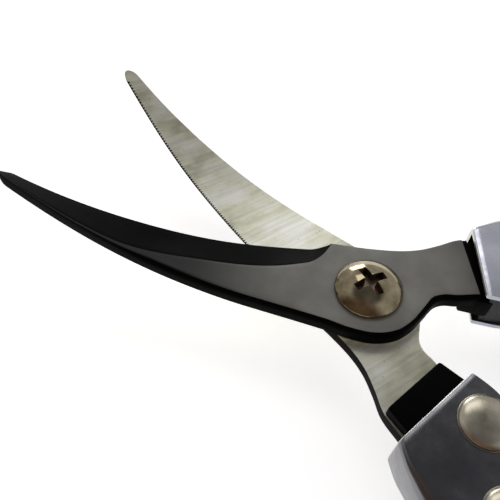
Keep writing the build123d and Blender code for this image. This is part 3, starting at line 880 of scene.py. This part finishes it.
def spring_frame(along, around):
    """Middle of the wire, and its direction from the coil's middle, at an angle along and round the coil."""
    out = Vector((math.cos(along), math.sin(along), 0))
    centre = out * SPRING_RADIUS + Vector((0, 0, MATING_HEIGHT))
    spoke = out * math.cos(around) + Vector((0, 0, 1)) * math.sin(around)
    return centre + spoke * COIL_RADIUS, spoke


def make_spring(material):
    """The coil, bent round the pivot."""
    end_gap = (WIRE / 2 + WIRE_FIT) / (SPRING_RADIUS - COIL_RADIUS)
    first = math.radians(180 - LIP_AT_SPRING - OPEN_ANGLE / 2) + end_gap
    last = 2 * math.pi - first
    steps = round(TURNS * STEPS_PER_TURN)
    rings = []
    shares = []
    for step in range(steps + 1):
        share = step / steps
        along = first + (last - first) * share
        around = 2 * math.pi * TURNS * share
        centre, spoke = spring_frame(along, around)
        ahead, _ = spring_frame(along + (last - first) / steps, around + 2 * math.pi * TURNS / steps)
        tangent = (ahead - centre).normalized()
        binormal = tangent.cross(spoke).normalized()
        normal = binormal.cross(tangent)
        ring = []
        for i in range(WIRE_SIDES):
            turn = 2 * math.pi * i / WIRE_SIDES
            ring.append(centre + (normal * math.cos(turn) + binormal * math.sin(turn)) * WIRE / 2)
        rings.append(ring)
        shares += [share] * WIRE_SIDES
    bm = bmesh.new()
    add_caps(bm, join_rings(bm, rings))
    piece = new_piece("return_spring_wound", bm, [material], None)
    bend_evenly(piece, shares, first, last)
    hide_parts("return_spring")


def bend_evenly(piece, shares, first, last):
    """Move each ring of wire to a place on the line between the coil's two ends, given by a curve of its
    share along the coil, bake the piece's transform into its mesh, and put the vertices back in their own
    places afterwards.
    """
    start = Vector((math.cos(first), math.sin(first), 0)) * SPRING_RADIUS * MM
    end = Vector((math.cos(last), math.sin(last), 0)) * SPRING_RADIUS * MM
    vertices = piece.data.vertices
    places = [vertex.co.copy() for vertex in vertices]
    for vertex, share in zip(vertices, shares):
        vertex.co = start.lerp(end, 0.5 - math.sin(math.asin(1 - 2 * share) / 3))
    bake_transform(piece)
    for vertex, place in zip(vertices, places):
        vertex.co = place


# The parts -------------------------------------------------------------------------------------------

coat = coated_steel()
bevel = ground_bevel()
lower_ground = ground_steel("ground_steel_lower", GRINDING_ANGLE)
upper_ground = ground_steel("ground_steel_upper", -GRINDING_ANGLE)
spine = bare_spine()
screw_nickel = nickel("screw_nickel", "75694f", "b5a88c", 0.06)
rivet_nickel = nickel("rivet_nickel", "a59e8b", "cbc4b2", 0.24)
# Near-white rim at the handles' mouth: a painted highlight on the sheet's edge.
rim_painted_highlight = tinted_metal("sheet_rim_painted_highlight", "c4c4be", "ecece6", 0.35)
wire = spring_steel()
core_nylon = nylon()
# One polished sheet in two copies: the lower handle's darker, a painted shade; the upper handle's lighter,
# painted light.
sheet_painted_shade = polished_sheet("polished_sheet_lower_painted_shade", "6b6b6e", "88888b")
sheet_painted_light = polished_sheet("polished_sheet_upper_painted_light", "a9abb6", "c9cbd4")
black_oxide = tinted_metal("black_oxide_steel", "1b1b1c", "2e2d2c", 0.35)
copper = tinted_metal("worn_bronze", "7a4f3a", "b07f5e", 0.3)
# A darker copy of the screw's nickel for its recess: a painted shade.
recess_painted_shade = tinted_metal("recess_painted_shade", "4a3b2e", "8a7a66", 0.3)
hook_steel = tinted_metal("hook_plate", "8d8d8a", "b9b9b4", 0.28)

make_blade("upper", [coat, bevel, upper_ground, bevel, bevel], toothed=False)
make_blade("lower", [coat, bevel, lower_ground, spine, bevel], toothed=True)
make_screw(screw_nickel, recess_painted_shade)
make_spring(wire)
make_shell("upper", sheet_painted_light, rim_painted_highlight)
make_shell("lower", sheet_painted_shade, rim_painted_highlight)
for half in SIDES:
    for place in ("front", "middle", "rear"):
        make_rivet(f"{half}_{place}_rivet", f"{half}_half", rivet_nickel)

finishes = {
    "pivot_nut": black_oxide,
    "pivot_washer": copper,
    "pivot_bush": copper,
    "latch_hook": hook_steel,
    "latch_pin": rivet_nickel,
    "catch_pin": rivet_nickel,
    "upper_handle_core": core_nylon,
    "lower_handle_core": core_nylon,
    "upper_spring_seat": core_nylon,
    "lower_spring_seat": core_nylon,
}
for node, finish in finishes.items():
    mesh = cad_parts[node].data
    mesh.materials.clear()
    mesh.materials.append(finish)


# Floor, light and camera -----------------------------------------------------------------------------


def make_floor():
    """A wide pale floor just under the shears."""
    bm = bmesh.new()
    bmesh.ops.create_grid(bm, x_segments=2, y_segments=2, size=3.0)
    mesh = bpy.data.meshes.new("floor")
    bm.to_mesh(mesh)
    bm.free()
    floor = bpy.data.objects.new("floor", mesh)
    floor.location.z = cad_box[0].z - FLOOR_DROP * MM
    bpy.context.scene.collection.objects.link(floor)
    material, shader = new_material("pale_floor", Roughness=0.9, Specular_IOR_Level=0.1)
    shader.inputs["Base Color"].default_value = (0.9, 0.9, 0.9, 1)
    shader.inputs["Emission Color"].default_value = (1, 1, 1, 1)
    shader.inputs["Emission Strength"].default_value = FLOOR_GLOW
    mesh.materials.append(material)


def add_softbox(name, azimuth, elevation, distance, size, radiance):
    """A soft rectangular light that faces the pivot. Azimuth 0 is on the +X side, 90 on the +Y side."""
    light = bpy.data.lights.new(name, "AREA")
    light.shape = "RECTANGLE"
    light.size, light.size_y = size
    light.energy = radiance * math.pi * size[0] * size[1]
    lamp = bpy.data.objects.new(name, light)
    a, e = math.radians(azimuth), math.radians(elevation)
    towards = Vector((math.cos(a) * math.cos(e), math.sin(a) * math.cos(e), math.sin(e)))
    lamp.location = towards * distance
    lamp.rotation_mode = "QUATERNION"
    lamp.rotation_quaternion = towards.to_track_quat("Z", "Y")
    bpy.context.scene.collection.objects.link(lamp)


def make_world():
    """Soft room light that falls off towards the ceiling and towards the +Y side of the room."""
    world = bpy.data.worlds.new("studio")
    world.use_nodes = True
    bpy.context.scene.world = world
    tree = world.node_tree
    place = tree.nodes.new("ShaderNodeTexCoord")
    split = tree.nodes.new("ShaderNodeSeparateXYZ")
    tree.links.new(place.outputs["Generated"], split.inputs["Vector"])
    height = tree.nodes.new("ShaderNodeValToRGB")
    stops = height.color_ramp.elements
    stops[0].position, stops[0].color = CEILING_BEGINS, ROOM_LIGHT
    stops[1].position, stops[1].color = CEILING_FULL, CEILING_LIGHT
    tree.links.new(split.outputs["Z"], height.inputs["Fac"])
    depth = tree.nodes.new("ShaderNodeMapRange")
    depth.interpolation_type = "SMOOTHSTEP"
    depth.inputs["From Min"].default_value = FAR_WALL_BEGINS
    depth.inputs["From Max"].default_value = FAR_WALL_FULL
    tree.links.new(split.outputs["Y"], depth.inputs["Value"])
    both = tree.nodes.new("ShaderNodeMix")
    both.data_type = "RGBA"
    both.inputs[7].default_value = FAR_WALL_LIGHT
    tree.links.new(depth.outputs["Result"], both.inputs[0])
    tree.links.new(height.outputs["Color"], both.inputs[6])
    tree.links.new(both.outputs[2], tree.nodes["Background"].inputs["Color"])


def make_camera():
    """A near view of the pivot and the blades, from above the lower handle."""
    data = bpy.data.cameras.new("camera")
    data.sensor_width = 36.0
    data.lens = CAMERA_LENS
    camera = bpy.data.objects.new("camera", data)
    right, back = Vector(CAMERA_RIGHT), Vector(CAMERA_BACK)
    up = back.cross(right)
    turned = Matrix.Rotation(math.radians(CAMERA_ROLL), 3, back)
    camera.matrix_world = Matrix((turned @ right, turned @ up, back)).transposed().to_4x4()
    camera.location = Vector(CAMERA_PLACE) * MM
    data.clip_start = 0.005
    bpy.context.scene.collection.objects.link(camera)
    bpy.context.scene.camera = camera


make_floor()
make_world()
make_camera()
add_softbox("key", azimuth=-62, elevation=50, distance=0.8, size=(0.5, 0.28), radiance=1.8)
add_softbox("low_window", azimuth=-57, elevation=11, distance=0.6, size=(0.22, 0.16), radiance=7.0)
bpy.context.scene.view_settings.view_transform = "Standard"
